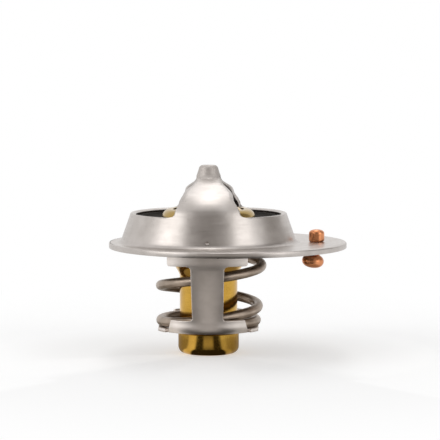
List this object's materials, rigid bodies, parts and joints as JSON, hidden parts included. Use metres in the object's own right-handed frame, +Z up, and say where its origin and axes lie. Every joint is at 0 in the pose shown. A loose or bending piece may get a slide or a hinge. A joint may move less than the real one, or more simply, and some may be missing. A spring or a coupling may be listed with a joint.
{
  "type": "engine thermostat",
  "caption": "Engine coolant valve: flanged cone housing with a windowed bridge, sprung rubber-edged plate, brass wax element, stirrup frame and a loose vent pin.",
  "frame": {"origin": "centre of the round flange, on its underside", "axes": "+Z up along the valve axis towards the bridge's nose; +X from the valve towards the vent pin; the bridge and the frame's legs run along Y"},
  "size_m": [0.052, 0.052, 0.0413],
  "materials": {
    "stainless_sheet": "satin drawn stainless sheet",
    "stainless_frame": "satin drawn stainless sheet",
    "spring_wire": "dull brown-grey drawn wire",
    "polished_pin": "ground",
    "stainless_plate": "satin",
    "black_rubber": "matt moulded rubber",
    "yellow_brass": "drawn, satin",
    "turned_brass": "turned, satin",
    "boot_rubber": "matt moulded rubber",
    "white_washer": "smooth",
    "wax": "waxy",
    "copper_pin": "headed copper wire"
  },
  "bodies": {
    "housing": {"flange_housing": "stainless_sheet", "lower_frame": "stainless_frame", "main_spring": "spring_wire", "piston": "polished_pin"},
    "valve": {"valve_plate": "stainless_plate", "valve_seal": "black_rubber", "element_case": "yellow_brass", "element_guide": "turned_brass", "rubber_boot": "boot_rubber", "backup_washer": "white_washer", "wax_charge": "wax"},
    "vent": {"vent_pin": "copper_pin"}
  },
  "joints": [
    {"name": "valve_slide", "type": "slide", "parent": "housing", "child": "valve", "axis": [0, 0, -1], "range_m": [0, 0.008], "stiffness_N_per_m": 9000, "deforming": ["main_spring"]},
    {"name": "vent_slide", "type": "slide", "parent": "housing", "child": "vent", "axis": [0, 0, 1], "range_m": [0, 0.0013]}
  ]
}
